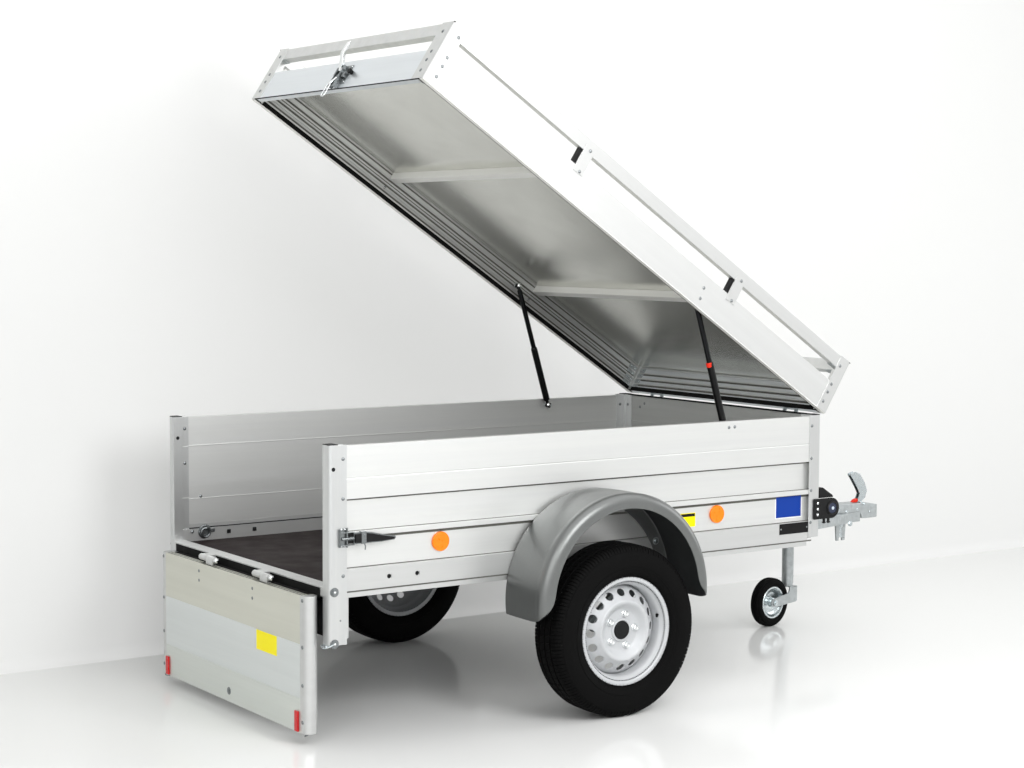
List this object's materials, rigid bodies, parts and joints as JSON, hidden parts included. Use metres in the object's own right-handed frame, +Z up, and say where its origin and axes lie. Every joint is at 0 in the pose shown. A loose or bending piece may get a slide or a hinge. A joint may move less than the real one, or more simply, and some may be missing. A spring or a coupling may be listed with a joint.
{
  "type": "lidded utility trailer",
  "caption": "Single-axle aluminium box trailer with a tilting roof lid on gas struts, a hanging tailgate, silver mudguards, a ball coupling and a swivelling jockey wheel.",
  "frame": {"origin": "on the ground under the middle of the overall length, on the centre plane", "axes": "+X forward towards the coupling, +Y to the left, +Z up"},
  "size_m": [2.992, 1.61, 2.2699],
  "materials": {
    "panel_aluminium": "satin",
    "profile_aluminium": "satin",
    "floor_ply": "satin",
    "galvanised_steel": "satin",
    "black_plastic": "matte",
    "red_lens": "gloss",
    "amber_lens": "gloss",
    "cast_grey": "satin",
    "silver_guard": "satin",
    "tyre_rubber": "matte",
    "jockey_rubber": "matte",
    "silver_rim": "satin",
    "hub_steel": "satin",
    "zinc_rim": "satin",
    "seal_rubber": "matte",
    "strut_black": "satin",
    "strut_steel": "satin"
  },
  "bodies": {
    "chassis": {"side_wall_left": "panel_aluminium", "side_wall_right": "panel_aluminium", "side_rail_left": "profile_aluminium", "side_rail_right": "profile_aluminium", "front_wall": "panel_aluminium", "floor_panel": "floor_ply", "rear_post_left": "profile_aluminium", "rear_post_right": "profile_aluminium", "front_post_left": "profile_aluminium", "front_post_right": "profile_aluminium", "post_caps": "black_plastic", "rear_sill": "galvanised_steel", "cross_members": "galvanised_steel", "drawbar_arm_left": "galvanised_steel", "drawbar_arm_right": "galvanised_steel", "drawbar_nose": "galvanised_steel", "axle_beam": "galvanised_steel", "axle_arms": "galvanised_steel", "mudguard_left": "silver_guard", "mudguard_right": "silver_guard", "rear_light_beam": "black_plastic", "lamp_lenses": "red_lens", "side_reflectors": "amber_lens", "marker_lamp_holders": "black_plastic", "coupling_head": "cast_grey", "coupling_handle": "black_plastic", "jockey_clamp": "galvanised_steel", "side_latches": "black_plastic", "tie_rings": "galvanised_steel", "lid_mount_brackets": "galvanised_steel"},
    "road_wheel_left": {"tyre_left": "tyre_rubber", "rim_left": "silver_rim", "hub_left": "hub_steel"},
    "road_wheel_right": {"tyre_right": "tyre_rubber", "rim_right": "silver_rim", "hub_right": "hub_steel"},
    "jockey_leg": {"jockey_outer_tube": "galvanised_steel"},
    "jockey_swivel_fork": {"jockey_fork": "galvanised_steel"},
    "jockey_wheel": {"jockey_tyre": "jockey_rubber", "jockey_rim": "zinc_rim"},
    "tailgate": {"gate_panel": "panel_aluminium", "gate_side_profiles": "profile_aluminium", "gate_reflectors": "red_lens", "gate_fittings": "galvanised_steel"},
    "lid": {"lid_side_left": "panel_aluminium", "lid_side_right": "panel_aluminium", "lid_end_panels": "panel_aluminium", "lid_roof": "panel_aluminium", "lid_corner_posts": "profile_aluminium", "lid_rails": "profile_aluminium", "lid_braces": "profile_aluminium", "lid_seal": "seal_rubber", "lid_rail_brackets": "profile_aluminium", "lid_latch": "galvanised_steel", "lid_fittings": "galvanised_steel"},
    "strut_tube_left_body": {"strut_tube_left": "strut_black"},
    "strut_tube_right_body": {"strut_tube_right": "strut_black"},
    "strut_rod_left_body": {"strut_rod_left": "strut_steel"},
    "strut_rod_right_body": {"strut_rod_right": "strut_steel"}
  },
  "joints": [
    {"name": "wheel_spin_left", "type": "hinge", "parent": "chassis", "child": "road_wheel_left", "pos_m": [-0.419, 0.7145, 0.289], "axis": [0, 1, 0], "continuous": true},
    {"name": "wheel_spin_right", "type": "hinge", "parent": "chassis", "child": "road_wheel_right", "pos_m": [-0.419, -0.7145, 0.289], "axis": [0, 1, 0], "continuous": true},
    {"name": "jockey_lift", "type": "slide", "parent": "chassis", "child": "jockey_leg", "axis": [0, 0, 1], "range_m": [0, 0.14]},
    {"name": "jockey_swivel", "type": "hinge", "parent": "jockey_leg", "child": "jockey_swivel_fork", "pos_m": [1.138, 0.137, 0], "axis": [0, 0, 1], "continuous": true},
    {"name": "jockey_spin", "type": "hinge", "parent": "jockey_swivel_fork", "child": "jockey_wheel", "pos_m": [1.02412, 0.121, 0.1], "axis": [-0.1392, 0.9903, 0], "continuous": true},
    {"name": "gate_hinge", "type": "hinge", "parent": "chassis", "child": "tailgate", "pos_m": [-1.465, 0, 0.49], "axis": [0, 1, 0], "range_deg": [0, 180]},
    {"name": "lid_hinge", "type": "hinge", "parent": "chassis", "child": "lid", "pos_m": [0.638, 0, 0.938], "axis": [0, 1, 0], "range_deg": [-33.1, 0]},
    {"name": "strut_pivot_left", "type": "hinge", "parent": "chassis", "child": "strut_tube_left_body", "pos_m": [0.198, 0.541, 0.919], "axis": [0, 1, 0], "range_deg": [-57.37, 0]},
    {"name": "strut_slide_left", "type": "slide", "parent": "strut_tube_left_body", "child": "strut_rod_left_body", "axis": [-0.2941, 0, 0.9558], "range_m": [-0.18698, 0]},
    {"name": "strut_pivot_right", "type": "hinge", "parent": "chassis", "child": "strut_tube_right_body", "pos_m": [0.198, -0.541, 0.919], "axis": [0, 1, 0], "range_deg": [-57.37, 0]},
    {"name": "strut_slide_right", "type": "slide", "parent": "strut_tube_right_body", "child": "strut_rod_right_body", "axis": [-0.2941, 0, 0.9558], "range_m": [-0.18698, 0]}
  ],
  "couplings": [
    {"joint": "strut_pivot_left", "follows": "lid_hinge", "ratio": 1.7318},
    {"joint": "strut_slide_left", "follows": "lid_hinge", "m_per_rad": 0.32331},
    {"joint": "strut_pivot_right", "follows": "lid_hinge", "ratio": 1.7318},
    {"joint": "strut_slide_right", "follows": "lid_hinge", "m_per_rad": 0.32331}
  ]
}
